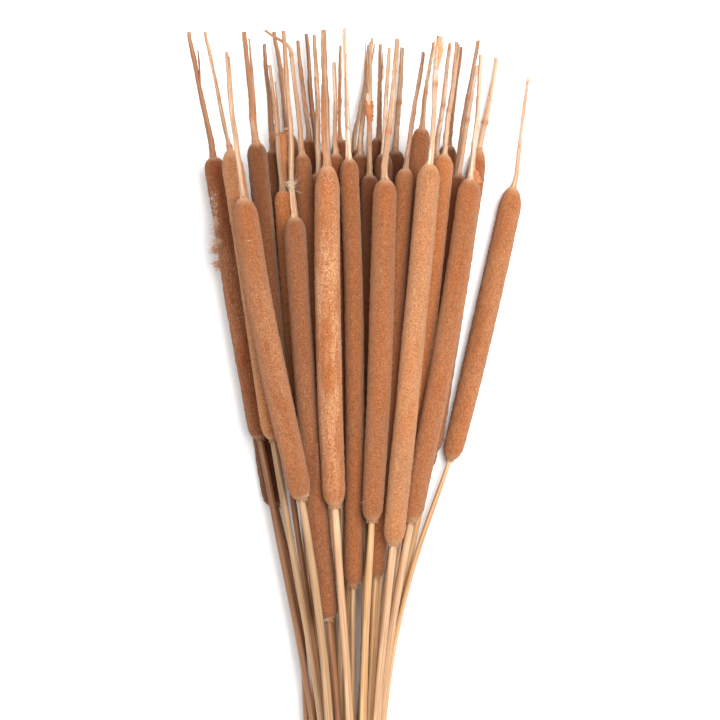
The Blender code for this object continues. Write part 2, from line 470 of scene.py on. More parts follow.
class Felt:
    """The surface of one seed head: a radius for every place along and angle round it."""

    def __init__(self, cattail, settings):
        self.cattail = cattail
        self.width = 2 * cattail.head_radius
        self.full = cattail.head_radius - settings.felt_margin
        self.relief = settings.relief
        self.start = cattail.base - BASE_OVERHANG * self.width
        self.end = cattail.top + TOP_OVERHANG * self.width
        chance = np.random.default_rng(1000 + cattail.seed)
        self.base_round = chance.uniform(2.1, 2.8)
        self.top_round = chance.uniform(1.9, 2.3)
        self.top_length = POINTED_TOPS.get(cattail.name, TOP_ROUNDING)

    def radii(self, places, angles):
        """Rounded ends, slow swells along the head and fine lumps in the felt."""
        cattail = self.cattail
        from_base = np.clip((places - self.start) / (BASE_ROUNDING * self.width), 0, 1)
        from_top = np.clip((self.end - places) / (self.top_length * self.width), 0, 1)
        base = (1 - (1 - from_base) ** self.base_round) ** (1 / self.base_round)
        top = (1 - (1 - from_top) ** self.top_round) ** (1 / self.top_round)
        share = (places - self.start) / (self.end - self.start)
        narrowing = np.clip(1 - share / TAPERED_LENGTH, 0, 1) ** 1.5
        radii = self.full * base * top * (1 - TAPERS.get(cattail.name, SLIGHT_TAPER) * narrowing)
        laid = straightened(places, angles, np.full_like(places, self.full), cattail.base)
        swell = SWELL * ripples(laid * (1, 1, 0.5), SWELL_LENGTH, 2000 + cattail.seed)
        lumps = 0.7 * ripples(laid, LARGE_LUMPS, 3000 + cattail.seed)
        lumps = lumps + ripples(laid, SMALL_LUMPS, 4000 + cattail.seed)
        radii = radii * (1 + swell) + self.relief * lumps * base * top
        return np.maximum(radii - self.dents(places, angles), 0.05 * MM)

    def dents(self, places, angles):
        """Creases and torn places that only some heads have."""
        depth = np.zeros_like(places)
        below_top = self.cattail.top - places
        for angle, reach in CREASES.get(self.cattail.name, ()):
            apart = np.angle(np.exp(1j * (angles - angle)))
            fade = np.clip(1 - below_top / reach, 0, 1)
            depth += CREASE_DEPTH * np.exp(-((apart / CREASE_WIDTH) ** 2)) * fade
        for name, angle, spread, low, high, torn in TORN_PLACES:
            if name == self.cattail.name:
                apart = np.angle(np.exp(1j * (angles - angle)))
                share = (places - self.cattail.base) / (self.cattail.top - self.cattail.base)
                inside = np.clip(np.minimum(share - low, high - share) / 0.03, 0, 1)
                depth += torn * np.exp(-((apart / spread) ** 2)) * inside
        return depth

    def points(self, places, angles, lift=0.0):
        return around(self.cattail, places, angles, self.radii(places, angles) + lift)


# Creases that run down from a head's top: angle round the head and length, and their depth and width
CREASES = {
    "front_6": ((1.9, 22 * MM), (1.45, 17 * MM), (1.1, 12 * MM)),
    "front_7": ((1.7, 10 * MM),),
    "middle_3": ((1.3, 14 * MM),),
}
CREASE_DEPTH = 0.9 * MM
CREASE_WIDTH = 0.11

# Torn places: head, angle round it, spread, start and end as shares of its length, and depth
TORN_PLACES = (
    ("middle_1", 2.9, 0.55, 0.62, 0.88, 0.35 * MM),
    ("front_3", 2.8, 0.35, 0.08, 0.20, 0.35 * MM),
)


def head_places(felt, rings):
    """Rings that crowd together at the rounded ends."""
    share = np.linspace(0, 1, rings)
    eased = (1 - np.cos(math.pi * share)) / 2
    return felt.start + (felt.end - felt.start) * (RING_CROWDING * eased + (1 - RING_CROWDING) * share)


def add_felt(shape, felt, rings, facets):
    """The closed skin of the head."""
    places, angles = ring_corners(head_places(felt, rings), facets)
    points = felt.points(places, angles).reshape(rings, facets, 3)
    laid = straightened(places, angles, felt.radii(places, angles), felt.cattail.base)
    shape.add_tube(points, laid.reshape(rings, facets, 3))


def normalised(vectors):
    return vectors / np.linalg.norm(vectors, axis=-1, keepdims=True)


def add_spines(shape, roots, aims, lengths, width, laid):
    """Three-sided spikes from roots along aims, pale at their tips."""
    count = len(roots)
    aims = normalised(aims)
    first = normalised(np.cross(aims, np.roll(aims, 1, axis=1) + (0.01, 0.02, 0.03)))
    second = np.cross(aims, first)
    corners = []
    for corner in range(3):
        angle = corner * math.tau / 3
        corners.append(roots + (math.cos(angle) * first + math.sin(angle) * second) * width / 2)
    points = np.stack([*corners, roots + aims * lengths[:, None]], axis=1)
    tips = np.tile([0.0, 0.0, 0.0, 1.0], count)
    offset = shape.add(points.reshape(-1, 3), np.repeat(laid, 4, axis=0), tips)
    start = np.arange(count)[:, None] * 4 + offset
    for face in ((0, 1, 3), (1, 2, 3), (2, 0, 3), (2, 1, 0)):
        shape.triangles.append(start + np.array(face))


# How deep bristles are rooted, how far they lean towards the top, and how much they scatter round that
BRISTLE_ROOT = 0.15 * MM
BRISTLE_LEAN = 0.25
BRISTLE_SCATTER = 0.45


def add_bristles(shape, felt, settings, count, shaggy):
    """Short bristles that stand in the felt and lean a little towards the top."""
    cattail = felt.cattail
    chance = np.random.default_rng(5000 + cattail.seed)
    places = chance.uniform(felt.start, felt.end, count)
    angles = chance.uniform(0, math.tau, count)
    step, turn = 0.4 * MM, 0.05
    roots = felt.points(places, angles, -BRISTLE_ROOT)
    forward = normalised(felt.points(places + step, angles) - roots)
    sideways = normalised(felt.points(places, angles + turn) - felt.points(places, angles - turn))
    upright = normalised(np.cross(sideways, forward))
    lengths = settings.bristle_length * shaggy * np.minimum(chance.gamma(5, 0.2, count), 2.2)
    lean = chance.normal(0, BRISTLE_SCATTER, (2, count))
    aims = upright + (BRISTLE_LEAN + lean[0])[:, None] * forward + lean[1][:, None] * sideways
    laid = straightened(places, angles, np.full(count, felt.full), cattail.base)
    add_spines(shape, roots, aims, lengths, settings.bristle_width, laid)


# Ragged bristle where the stalk and the spike leave the head: how many for front, middle and back, how far
# inside the head it starts, and its lengths and flares at the base and at the top
COLLAR_SPINES = (110, 80, 50)
COLLAR_DEPTH = 1.6 * MM
COLLAR_LENGTH = (1.5 * MM, 0.675 * MM)
COLLAR_FLARE = (0.5, 0.15)


def add_collar(shape, felt, settings, count, at_top):
    """Longer bristles that hug the stalk below a head, or the spike above it."""
    cattail = felt.cattail
    chance = np.random.default_rng(5500 + cattail.seed + 100 * at_top)
    rod = cattail.spike_radius if at_top else cattail.stalk_radius
    angles = chance.uniform(0, math.tau, count)
    inside = chance.uniform(0.0, COLLAR_DEPTH, count)
    places = felt.end - inside if at_top else felt.start + inside
    roots = around(cattail, places, angles, rod * chance.uniform(0.95, 1.35, count))
    _, side, rise, ahead = line_at(cattail, places)
    flare = chance.uniform(0.0, COLLAR_FLARE[at_top], count)
    aims = ahead * (1 if at_top else -1) + outward(side, rise, angles) * flare[:, None]
    aims = aims + chance.normal(0, 0.12, (count, 3))
    lengths = COLLAR_LENGTH[at_top] * chance.uniform(0.6, 1.7, count)
    laid = straightened(places, angles, np.full(count, rod), cattail.base)
    add_spines(shape, roots, aims, lengths, 2 * settings.bristle_width, laid)


def attribute(tree, name, output):
    node = tree.nodes.new("ShaderNodeAttribute")
    node.attribute_name = name
    return node.outputs[output]


def stretched(tree, vector, scale):
    """Pattern coordinates squeezed by a scale in each direction."""
    node = tree.nodes.new("ShaderNodeVectorMath")
    node.operation = "MULTIPLY"
    tree.links.new(vector, node.inputs[0])
    node.inputs[1].default_value = scale
    return node.outputs[0]


def moved(tree, vector, shift):
    node = tree.nodes.new("ShaderNodeVectorMath")
    node.operation = "ADD"
    tree.links.new(vector, node.inputs[0])
    node.inputs[1].default_value = shift
    return node.outputs[0]


def noise(tree, vector, size, detail=2.0, roughness=0.6, along=1.0):
    """Cloudy pattern with lumps of about a size in metres, drawn out along the cattail if along is small."""
    if along != 1.0:
        vector = stretched(tree, vector, (1, 1, along))
    node = tree.nodes.new("ShaderNodeTexNoise")
    tree.links.new(vector, node.inputs["Vector"])
    node.inputs["Scale"].default_value = 1.0 / size
    node.inputs["Detail"].default_value = detail
    node.inputs["Roughness"].default_value = roughness
    return node.outputs["Fac"]


def part_of(tree, vector, axis):
    """One component of pattern coordinates."""
    node = tree.nodes.new("ShaderNodeSeparateXYZ")
    tree.links.new(vector, node.inputs[0])
    return node.outputs[axis]


def distance_from_axis(tree, vector):
    """How far pattern coordinates lie from the straightened middle line."""
    node = tree.nodes.new("ShaderNodeVectorMath")
    node.operation = "LENGTH"
    tree.links.new(stretched(tree, vector, (1, 1, 0)), node.inputs[0])
    return node.outputs["Value"]


def remap(tree, value, low, high, to_low=0.0, to_high=1.0):
    node = tree.nodes.new("ShaderNodeMapRange")
    tree.links.new(value, node.inputs["Value"])
    node.inputs["From Min"].default_value = low
    node.inputs["From Max"].default_value = high
    node.inputs["To Min"].default_value = to_low
    node.inputs["To Max"].default_value = to_high
    return node.outputs["Result"]


def combine(tree, operation, first, second):
    node = tree.nodes.new("ShaderNodeMath")
    node.operation = operation
    for socket, value in zip(node.inputs, (first, second)):
        if isinstance(value, (int, float)):
            socket.default_value = value
        else:
            tree.links.new(value, socket)
    return node.outputs[0]


def mixed(tree, share, first, second):
    """One colour turning into another by a share; a colour is a socket or three numbers."""
    node = tree.nodes.new("ShaderNodeMix")
    node.data_type = "RGBA"
    if isinstance(share, (int, float)):
        node.inputs["Factor"].default_value = share
    else:
        tree.links.new(share, node.inputs["Factor"])
    for socket, colour in zip((node.inputs[6], node.inputs[7]), (first, second)):
        if isinstance(colour, bpy.types.NodeSocket):
            tree.links.new(colour, socket)
        else:
            socket.default_value = (*colour, 1.0)
    return node.outputs[2]


def times(tree, first, second):
    return combine(tree, "MULTIPLY", first, second)


def dress(tree, shader, colour, height, depth, strength=1.0):
    """Gives a shader its colour, and a fine relief of a depth in metres."""
    relief = tree.nodes.new("ShaderNodeBump")
    relief.inputs["Strength"].default_value = strength
    relief.inputs["Distance"].default_value = depth
    tree.links.new(height, relief.inputs["Height"])
    tree.links.new(relief.outputs["Normal"], shader.inputs["Normal"])
    tree.links.new(colour, shader.inputs["Base Color"])


def new_material(name, roughness, sheen=0.0, specular=0.5):
    material = bpy.data.materials.new(name)
    material.use_nodes = True
    shader = material.node_tree.nodes["Principled BSDF"]
    shader.inputs["Roughness"].default_value = roughness
    shader.inputs["Specular IOR Level"].default_value = specular
    shader.inputs["Sheen Weight"].default_value = sheen
    return material, material.node_tree, shader


def toned(colour, red, green, blue):
    """A colour with its three parts scaled."""
    return tuple(min(part * share, 1.0) for part, share in zip(colour, (red, green, blue)))


def shaded(colour, light):
    return toned(colour, light, light, light)


def felt_material(cattail, settings, finish):
    """Velvety bristle: blotches, fine grain, faint streaks along the head and pale worn tips."""
    material, tree, shader = new_material(f"felt_{cattail.name}", 0.92, 0.3, 0.12)
    shader.inputs["Sheen Roughness"].default_value = 0.55
    shader.inputs["Sheen Tint"].default_value = (1.0, 0.72, 0.5, 1.0)
    # The finish's light scales the felt; on heads deep in the bunch it is painted shade.
    body = shaded(getattr(settings, finish.tone), finish.light)
    deep = toned(body, 0.66, 0.54, 0.44)
    warm = toned(body, 1.14, 0.98, 0.74)
    dusty = toned(body, 1.02, 1.1, 1.16)
    pale = toned(body, 1.36, 1.42, 1.36)
    upright = attribute(tree, "straight", "Vector")
    place = moved(tree, upright, (cattail.seed * 0.37, 0.0, 0.0))

    blotches = noise(tree, place, 16 * MM, 4.0, along=0.3)
    streaks = noise(tree, place, 2.4 * MM, 2.0, along=0.05)
    grain = noise(tree, place, 0.75 * MM, 3.0, 0.8, along=0.8)
    clumps = noise(tree, place, 2.6 * MM, 2.0, along=0.6)

    colour = mixed(tree, remap(tree, blotches, 0.42, 0.62), body, warm)
    colour = mixed(tree, remap(tree, blotches, 0.48, 0.38, 0.0, 0.8), colour, dusty)
    colour = mixed(tree, remap(tree, streaks, 0.5, 0.72, 0.0, 0.3), colour, deep)
    colour = mixed(tree, remap(tree, clumps, 0.55, 0.36, 0.0, 0.35), colour, deep)
    colour = mixed(tree, remap(tree, grain, 0.51, 0.37, 0.0, 0.85), colour, deep)
    colour = mixed(tree, remap(tree, grain, 0.5, 0.62, 0.0, 0.95), colour, pale)
    if finish.frost:
        patches = noise(tree, place, 8 * MM, 4.0, along=0.25)
        upper = part_of(tree, upright, 1)
        upper = remap(tree, upper, -0.1 * cattail.head_radius, 0.7 * cattail.head_radius)
        speckled = remap(tree, grain, 0.42, 0.6, 0.1, 1.0)
        frosted = times(tree, remap(tree, patches, 0.38, 0.56, 0.0, finish.frost), speckled)
        length = cattail.top - cattail.base
        below_top = remap(tree, part_of(tree, place, 2), 0.96 * length, 0.7 * length, 0.2, 1.0)
        above_base = remap(tree, part_of(tree, place, 2), 0.0, 0.4 * length, 0.4, 1.0)
        frosted = times(tree, frosted, times(tree, below_top, above_base))
        colour = mixed(tree, times(tree, frosted, upper), colour, tuple(settings.frost))
    narrow = distance_from_axis(tree, upright)
    narrow = remap(tree, narrow, 0.8 * cattail.head_radius, 0.3 * cattail.head_radius, 0.0, 0.7)
    colour = mixed(tree, narrow, colour, tuple(settings.frost))
    colour = mixed(tree, times(tree, attribute(tree, "tip", "Fac"), 0.5), colour, pale)
    height = combine(tree, "ADD", grain, times(tree, clumps, 0.8))
    dress(tree, shader, colour, height, 0.8 * MM)
    return material


class CATTAILS_OT_seed_heads(bpy.types.Operator):
    """Makes the felted seed head of every cattail"""

    bl_idname = "cattails.seed_heads"
    bl_label = "Seed heads"

    def execute(self, context):
        settings = context.scene.cattail_heads
        for cattail in BUNCH.cattails.values():
            finish = FINISHES.get(cattail.name, RUST_PAINTED_SHADE_FINISH)
            felt = Felt(cattail, settings)
            shape = Shape()
            add_felt(shape, felt, HEAD_RINGS[rank(cattail)], HEAD_FACETS[rank(cattail)])
            add_bristles(shape, felt, settings, BRISTLES[rank(cattail)], finish.shaggy)
            for at_top in (False, True):
                add_collar(shape, felt, settings, COLLAR_SPINES[rank(cattail)], at_top)
            material = felt_material(cattail, settings, finish)
            place_piece(shape, f"head_{cattail.name}", cattail, [material])
        return {"FINISHED"}


# Stalks

class StalkSettings(bpy.types.PropertyGroup):
    """Sizes and colours of the stalks."""

    rib_depth: FloatProperty(
        name="Rib depth", description="Height of the fine ribs along a stalk",
        default=0.09 * MM, unit="LENGTH",
    )
    straw: FloatVectorProperty(
        name="Straw", description="An ordinary stalk", default=linear(174, 140, 103), subtype="COLOR",
    )
    golden: FloatVectorProperty(
        name="Golden", description="The yellowest stalks", default=linear(200, 158, 112), subtype="COLOR",
    )
    pale: FloatVectorProperty(
        name="Pale", description="The palest stalks", default=linear(196, 158, 122), subtype="COLOR",
    )
    brown: FloatVectorProperty(
        name="Brown", description="Old brown stalks", default=linear(150, 104, 68), subtype="COLOR",
    )
    pith: FloatVectorProperty(
        name="Pith", description="Spongy inside at the cut end",
        default=linear(226, 202, 160), subtype="COLOR",
    )


STALK_FACETS = 20
STALK_RINGS = 70
STALK_INTO_HEAD = 4 * MM

# How far a stalk departs from round, how much it swells along its length and thins below the head, as shares
# of its radius, and the lengths over which it does so
STALK_OVAL = 0.05
OVAL_TURN = 60 * MM
STALK_SWELL = 0.035
STALK_SWELL_LENGTH = 45 * MM
NECK_THINNING = 0.12
NECK_LENGTH = 12 * MM


def stalk_material(tone, settings):
    """Satin straw with fine lines along it."""
    material, tree, shader = new_material(f"stalk_{tone}", 0.48, 0.0, 0.45)
    body = tuple(getattr(settings, tone))
    dark = toned(body, 0.6, 0.48, 0.38)
    light = toned(body, 1.14, 1.18, 1.25)
    place = attribute(tree, "straight", "Vector")
    lines = noise(tree, place, 1.0 * MM, 3.0, 0.7, along=0.012)
    clouds = noise(tree, place, 7 * MM, 3.0, along=0.15)
    specks = noise(tree, place, 0.9 * MM, 2.0, along=0.3)
    colour = mixed(tree, remap(tree, lines, 0.4, 0.6), dark, light)
    colour = mixed(tree, 0.2, colour, body)
    colour = mixed(tree, remap(tree, clouds, 0.5, 0.72, 0.0, 0.5), colour, dark)
    colour = mixed(tree, remap(tree, specks, 0.68, 0.74, 0.0, 0.45), colour, dark)
    tree.links.new(remap(tree, lines, 0.3, 0.7, 0.4, 0.62), shader.inputs["Roughness"])
    dress(tree, shader, colour, lines, 0.25 * MM, 0.6)
    return material


def pith_material(settings):
    """Spongy cells of the cut end, each darkened towards its hollow middle with painted shade."""
    material, tree, shader = new_material("stalk_pith", 0.85, 0.0, 0.2)
    place = attribute(tree, "straight", "Vector")
    cells = tree.nodes.new("ShaderNodeTexVoronoi")
    cells.inputs["Scale"].default_value = 1 / (0.55 * MM)
    tree.links.new(place, cells.inputs["Vector"])
    depth = cells.outputs["Distance"]
    pith = tuple(settings.pith)
    # Painted shade: the colour darkens towards each cell's middle, where the bump sinks into a hollow.
    colour = mixed(tree, remap(tree, depth, 0.1, 0.6), shaded(pith, 0.55), pith)
    dress(tree, shader, colour, depth, 0.3 * MM, 0.8)
    return material


def add_stalk(shape, cattail, settings):
    """A slightly uneven ribbed tube from the cut end up into the head."""
    chance = np.random.default_rng(6000 + cattail.seed)
    places = np.linspace(cattail.foot, cattail.base + STALK_INTO_HEAD, STALK_RINGS)
    along, turn = ring_corners(places, STALK_FACETS)
    laid = straightened(along, turn, np.full_like(along, cattail.stalk_radius), cattail.base)
    ribs = settings.rib_depth * np.where(np.arange(STALK_FACETS) % 2, 1.0, -1.0)
    ribs = np.tile(ribs * chance.uniform(0.2, 1.0, STALK_FACETS), STALK_RINGS)
    oval = STALK_OVAL * np.cos(2 * turn + chance.uniform(0, math.tau) + along / OVAL_TURN)
    swell = STALK_SWELL * ripples(laid * (0.3, 0.3, 1), STALK_SWELL_LENGTH, 7000 + cattail.seed)
    radii = cattail.stalk_radius * (0.96 + oval + swell) + ribs
    near_head = np.clip((along - cattail.base + NECK_LENGTH) / NECK_LENGTH, 0, 1)
    radii *= 1 - NECK_THINNING * near_head
    points = around(cattail, along, turn, radii)
    shape.add_tube(
        points.reshape(STALK_RINGS, STALK_FACETS, 3),
        straightened(along, turn, radii, cattail.base).reshape(STALK_RINGS, STALK_FACETS, 3),
        cut_start=True,
    )


class CATTAILS_OT_stalks(bpy.types.Operator):
    """Makes the straw stalk of every cattail"""

    bl_idname = "cattails.stalks"
    bl_label = "Stalks"

    def execute(self, context):
        settings = context.scene.cattail_stalks
        tones = ("straw", "golden", "pale", "brown")
        materials = {tone: stalk_material(tone, settings) for tone in tones}
        pith = pith_material(settings)
        for cattail in BUNCH.cattails.values():
            tone = STALK_TONES.get(cattail.name, tones[cattail.seed % 2])
            shape = Shape()
            add_stalk(shape, cattail, settings)
            place_piece(shape, f"stalk_{cattail.name}", cattail, [materials[tone], pith])
        return {"FINISHED"}


# Bare spikes

class SpikeSettings(bpy.types.PropertyGroup):
    """Sizes and colours of the bare spikes."""

    furrow: FloatProperty(
        name="Furrow", description="Depth of the furrows along a spike, as a share of its radius",
        default=0.16,
        subtype="FACTOR",
    )
    crook: FloatProperty(
        name="Crook", description="How far a spike wanders from its line", default=0.42 * MM, unit="LENGTH",
    )
    cream: FloatVectorProperty(
        name="Cream", description="The palest spikes", default=linear(210, 178, 150), subtype="COLOR",
    )
    honey: FloatVectorProperty(
        name="Honey", description="Golden spikes", default=linear(186, 150, 118), subtype="COLOR",
    )
    russet: FloatVectorProperty(
        name="Russet", description="Orange-brown spikes", default=linear(168, 126, 94), subtype="COLOR",
    )
    brown: FloatVectorProperty(
        name="Brown", description="The darkest spikes", default=linear(152, 112, 84), subtype="COLOR",
    )
    scar: FloatVectorProperty(
        name="Scar", description="Knots and scars", default=linear(164, 98, 54), subtype="COLOR",
    )


SPIKE_FACETS = 14
SPIKE_RINGS = 64
SPIKE_INTO_HEAD = 6 * MM
STRAND_FACETS = 8
STRAND_RINGS = 26

# Where a spike leaves the head: how much thicker it is there, as a share, and how fast that fades
JOINT_SWELL = 0.35
JOINT_LENGTH = 2.5 * MM

# Half the length of a knot, and the slant and raggedness of a spike's broken end
KNOT_LENGTH = 1.6 * MM
BREAK_SLANT = 0.4 * MM
BREAK_ROUGHNESS = 0.35 * MM

# Strands that split off a spike: cattail, where they leave and end as shares of its length, how far their end
# stands aside and up in millimetres, and their thickness in millimetres
STRANDS = (
    ("front_1", 0.45, 0.96, 1.5, 0.2, 1.3),
    ("middle_1", 0.58, 0.84, 3.6, 0.3, 1.8),
    ("middle_3", 0.15, 0.93, 2.6, 0.4, 1.9),
    ("back_5", 0.30, 0.95, 1.9, 0.5, 1.4),
    ("back_5", 0.62, 1.00, -3.8, 0.6, 0.7),
    ("back_8", 0.85, 0.45, 1.2, 0.6, 0.6),
    ("front_2", 0.55, 0.80, -1.8, 0.3, 1.0),
    ("middle_13", 0.50, 0.97, 1.7, 0.3, 1.4),
    ("front_4", 0.55, 0.94, -1.5, 0.3, 1.3),
    ("front_6", 0.50, 0.95, -1.8, 0.0, 1.4),
    ("middle_5", 0.20, 0.60, -1.5, 0.3, 1.3),
    ("middle_6", 0.30, 0.86, 2.2, 0.3, 1.3),
    ("middle_10", 0.50, 0.92, -1.9, 0.4, 1.5),
    ("back_7", 0.40, 0.90, 1.6, 0.3, 1.2),
    ("back_11", 0.05, 0.15, 1.6, 0.5, 0.8),
    ("middle_8", 0.20, 0.70, -1.3, 0.2, 1.1),
    ("back_12", 0.35, 0.80, 2.0, 0.2, 1.3),
)

# Knots: cattail, place along the spike as a share, and how far they stand out as a share of its radius
KNOTS = (
    ("middle_14", 0.30, 0.5), ("back_4", 0.42, 0.6),
    ("middle_7", 0.80, 0.3), ("middle_7", 0.93, -0.3), ("middle_7", 0.97, -0.5),
    ("middle_2", 0.04, 0.7), ("middle_3", 0.24, 0.25), ("front_6", 0.62, 0.25), ("middle_11", 0.42, 0.2),
    ("back_9", 0.47, 0.3), ("middle_12", 0.45, 0.25), ("middle_13", 0.40, 0.2), ("back_3", 0.3, 0.2),
    ("middle_4", 0.1, 0.4), ("back_12", 0.6, 0.25), ("front_5", 0.35, 0.2), ("back_13", 0.5, 0.2),
)

SPIKE_TONES = {
    "cream": (
        "front_4", "front_6", "front_7", "front_8", "middle_12", "middle_14", "back_8", "back_13",
    ),
    "russet": (
        "front_3", "middle_1", "middle_3", "middle_4", "middle_5", "back_2", "back_12", "back_7", "back_4",
    ),
    "brown": ("back_1", "back_3", "back_10", "back_11"),
}


def spike_tone(cattail):
    """The tone that the cattail's spike is listed under, or honey."""
    return next((tone for tone, names in SPIKE_TONES.items() if cattail.name in names), "honey")


def spike_material(tone, settings):
    """Fibrous straw, bleached along some lines, darker along others and at scars."""
    material, tree, shader = new_material(f"spike_{tone}", 0.6, 0.0, 0.3)
    body = tuple(getattr(settings, tone))
    dark = toned(body, 0.44, 0.34, 0.27)
    light = toned(body, 1.14, 1.24, 1.4)
    place = attribute(tree, "straight", "Vector")
    fibres = noise(tree, place, 1.1 * MM, 3.0, 0.7, along=0.04)
    sides = noise(tree, place, 2.6 * MM, 1.0, along=0.06)
    clouds = noise(tree, place, 7 * MM, 4.0, along=0.4)
    scars = noise(tree, place, 2.6 * MM, 3.0, along=0.5)
    colour = mixed(tree, remap(tree, fibres, 0.38, 0.6), dark, light)
    colour = mixed(tree, 0.25, colour, body)
    colour = mixed(tree, remap(tree, sides, 0.46, 0.58, 0.0, 0.8), colour, shaded(dark, 1.6))
    colour = mixed(tree, remap(tree, clouds, 0.5, 0.64, 0.0, 0.5), colour, shaded(body, 0.62))
    colour = mixed(tree, remap(tree, scars, 0.58, 0.68, 0.0, 0.75), colour, tuple(settings.scar))
    colour = mixed(tree, times(tree, attribute(tree, "tip", "Fac"), 0.75), colour, tuple(settings.scar))
    dress(tree, shader, colour, fibres, 0.4 * MM, 0.9)
    return material


def spike_line(cattail, places, settings):
    """The spike's middle line with its small crooks, which die out where it enters the head."""
    line, side, rise, _ = line_at(cattail, np.minimum(places, cattail.tip))
    free = np.clip((places - cattail.top) / (8 * MM), 0, 1)
    only_along = np.column_stack([places, places * 0, places * 0])
    for turned, seed in ((side, 300), (rise, 400)):
        wander = ripples(only_along, 48 * MM, seed + cattail.seed, 5)
        wander = wander + 0.16 * ripples(only_along, 12 * MM, seed + 50 + cattail.seed, 5)
        line = line + turned * (settings.crook * free * wander)[:, None]
    return line, side, rise


def rod_radii(cattail, along, turn, thick, thin, furrow, seed):
    """A furrowed rod that thins towards its end."""
    chance = np.random.default_rng(seed)
    share = (along - along.min()) / np.ptp(along)
    lobes = chance.integers(2, 4)
    twist = chance.uniform(-1, 1) / (70 * MM) * along
    outline = furrow * np.cos(lobes * turn + chance.uniform(0, math.tau) + twist)
    outline += 0.5 * furrow * np.cos(5 * turn + chance.uniform(0, math.tau) - twist)
    laid = straightened(along, turn, np.full_like(along, thick), cattail.top)
    uneven = 0.09 * ripples(laid * (1, 1, 0.6), 12 * MM, seed + 1) + 0.07 * ripples(laid, 3.5 * MM, seed + 2)
    return (thick + (thin - thick) * share) * (1 + outline + uneven)


def add_spike(shape, cattail, settings):
    """The bare rod above the head, with its knots and a ragged broken end."""
    places = np.linspace(cattail.top - SPIKE_INTO_HEAD, cattail.tip, SPIKE_RINGS)
    along, turn = ring_corners(places, SPIKE_FACETS)
    radii = rod_radii(
        cattail, along, turn, cattail.spike_radius * 1.02, cattail.tip_radius * 0.95, settings.furrow,
        8000 + 10 * cattail.seed,
    )
    share = (along - cattail.top) / (cattail.tip - cattail.top)
    scarred = np.zeros_like(along)
    for name, place, size in KNOTS:
        if name == cattail.name:
            near = np.exp(-(((share - place) * (cattail.tip - cattail.top) / KNOT_LENGTH) ** 2))
            scarred = np.maximum(scarred, near)
            radii = radii * (1 + size * near * (0.75 + 0.25 * np.cos(turn)))
    scarred = np.maximum(scarred, 0.5 * np.clip((share - 0.985) / 0.015, 0, 1))
    radii = radii * (1 + JOINT_SWELL * np.exp(-np.clip(along - cattail.top, 0, None) / JOINT_LENGTH))
    slant = BREAK_SLANT * (1 + np.cos(turn + cattail.seed))
    rim = np.column_stack([np.cos(turn), np.sin(turn), turn * 0])
    ragged = BREAK_ROUGHNESS * ripples(rim, 1.3, 90 + cattail.seed)
    at_end = along >= places[-1] - 0.01 * MM
    sunk = np.where(at_end, -slant - np.abs(ragged), 0.0)
    line, side, rise = spike_line(cattail, along + sunk, settings)
    points = line + outward(side, rise, turn) * radii[:, None]
    laid = straightened(along, turn, radii, cattail.top) + (cattail.seed * 0.11, 0, 0)
    shape.add_tube(
        points.reshape(SPIKE_RINGS, SPIKE_FACETS, 3),
        laid.reshape(SPIKE_RINGS, SPIKE_FACETS, 3),
        tips=scarred,
    )


def add_strand(shape, cattail, strand, settings, number):
    """A thinner rod that leaves the spike and runs beside it."""
    _, start, end, aside, up, thickness = strand
    length = cattail.tip - cattail.top
    share = np.linspace(0, 1, STRAND_RINGS)
    places = cattail.top + (start + (end - start) * share) * length
    line, side, rise = spike_line(cattail, places, settings)
    away = share ** 0.7
    inset = (cattail.spike_radius - thickness * MM / 2) * 0.6 * np.sign(aside)
    line = line + side * (inset * (1 - away) + aside * MM * away)[:, None] + rise * (up * MM * away)[:, None]
    along, turn = ring_corners(places, STRAND_FACETS)
    radii = rod_radii(
        cattail, along if end > start else along[::-1], turn, thickness * MM / 2, thickness * MM * 0.3,
        settings.furrow, 9000 + number,
    )
    line, side, rise = (np.repeat(vectors, STRAND_FACETS, axis=0) for vectors in (line, side, rise))
    points = line + outward(side, rise, turn) * radii[:, None]
    points = points.reshape(STRAND_RINGS, STRAND_FACETS, 3)
    if end < start:
        points = points[::-1]
    laid = straightened(along, turn, radii, cattail.top) + (0.5 + number * 0.13, 0, 0)
    shade = 0.7 * np.clip((np.repeat(share, STRAND_FACETS) - 0.95) / 0.05, 0, 1)
    shape.add_tube(points, laid.reshape(STRAND_RINGS, STRAND_FACETS, 3), tips=shade)


class CATTAILS_OT_spikes(bpy.types.Operator):
    """Makes the bare spike of every cattail, with its split strands"""

    bl_idname = "cattails.spikes"
    bl_label = "Bare spikes"

    def execute(self, context):
        settings = context.scene.cattail_spikes
        materials = {tone: spike_material(tone, settings) for tone in ("cream", "honey", "russet", "brown")}
        for cattail in BUNCH.cattails.values():
            shape = Shape()
            add_spike(shape, cattail, settings)
            for number, strand in enumerate(STRANDS):
                if strand[0] == cattail.name:
                    add_strand(shape, cattail, strand, settings, number)
            material = materials[spike_tone(cattail)]
            place_piece(shape, f"spike_{cattail.name}", cattail, [material])
        return {"FINISHED"}


# Torn and loose parts

class LooseSettings(bpy.types.PropertyGroup):
    """Sizes and colours of tufts, husks and shreds."""

    hair_width: FloatProperty(
        name="Hair width", description="Width of a loose hair at its root",
        default=0.26 * MM, unit="LENGTH",
    )
    fluff: FloatVectorProperty(
        name="Fluff", description="Seed fluff that hangs out of a torn head", default=linear(240, 212, 184),
        subtype="COLOR",
    )
    bran: FloatVectorProperty(
        name="Bran", description="Brown fluff and shreds", default=linear(204, 146, 104), subtype="COLOR",
    )
    husk: FloatVectorProperty(
        name="Husk", description="Orange remains of the male flowers",
        default=linear(172, 108, 66), subtype="COLOR",
    )
    bract: FloatVectorProperty(
        name="Bract", description="Papery sheath", default=linear(192, 160, 130), subtype="COLOR",
    )


class Tuft(NamedTuple):
    """Loose hairs. The place is in the photo's pixels with a lift above the cattail's line, the spot is its
    size across and along, and the aim is the hairs' direction. Lifts, lengths and sizes are in mm."""

    cattail: str
    pixel: tuple
    lift: float
    tone: str
    count: int
    length: float
    spot: tuple
    aim: tuple
    curl: float


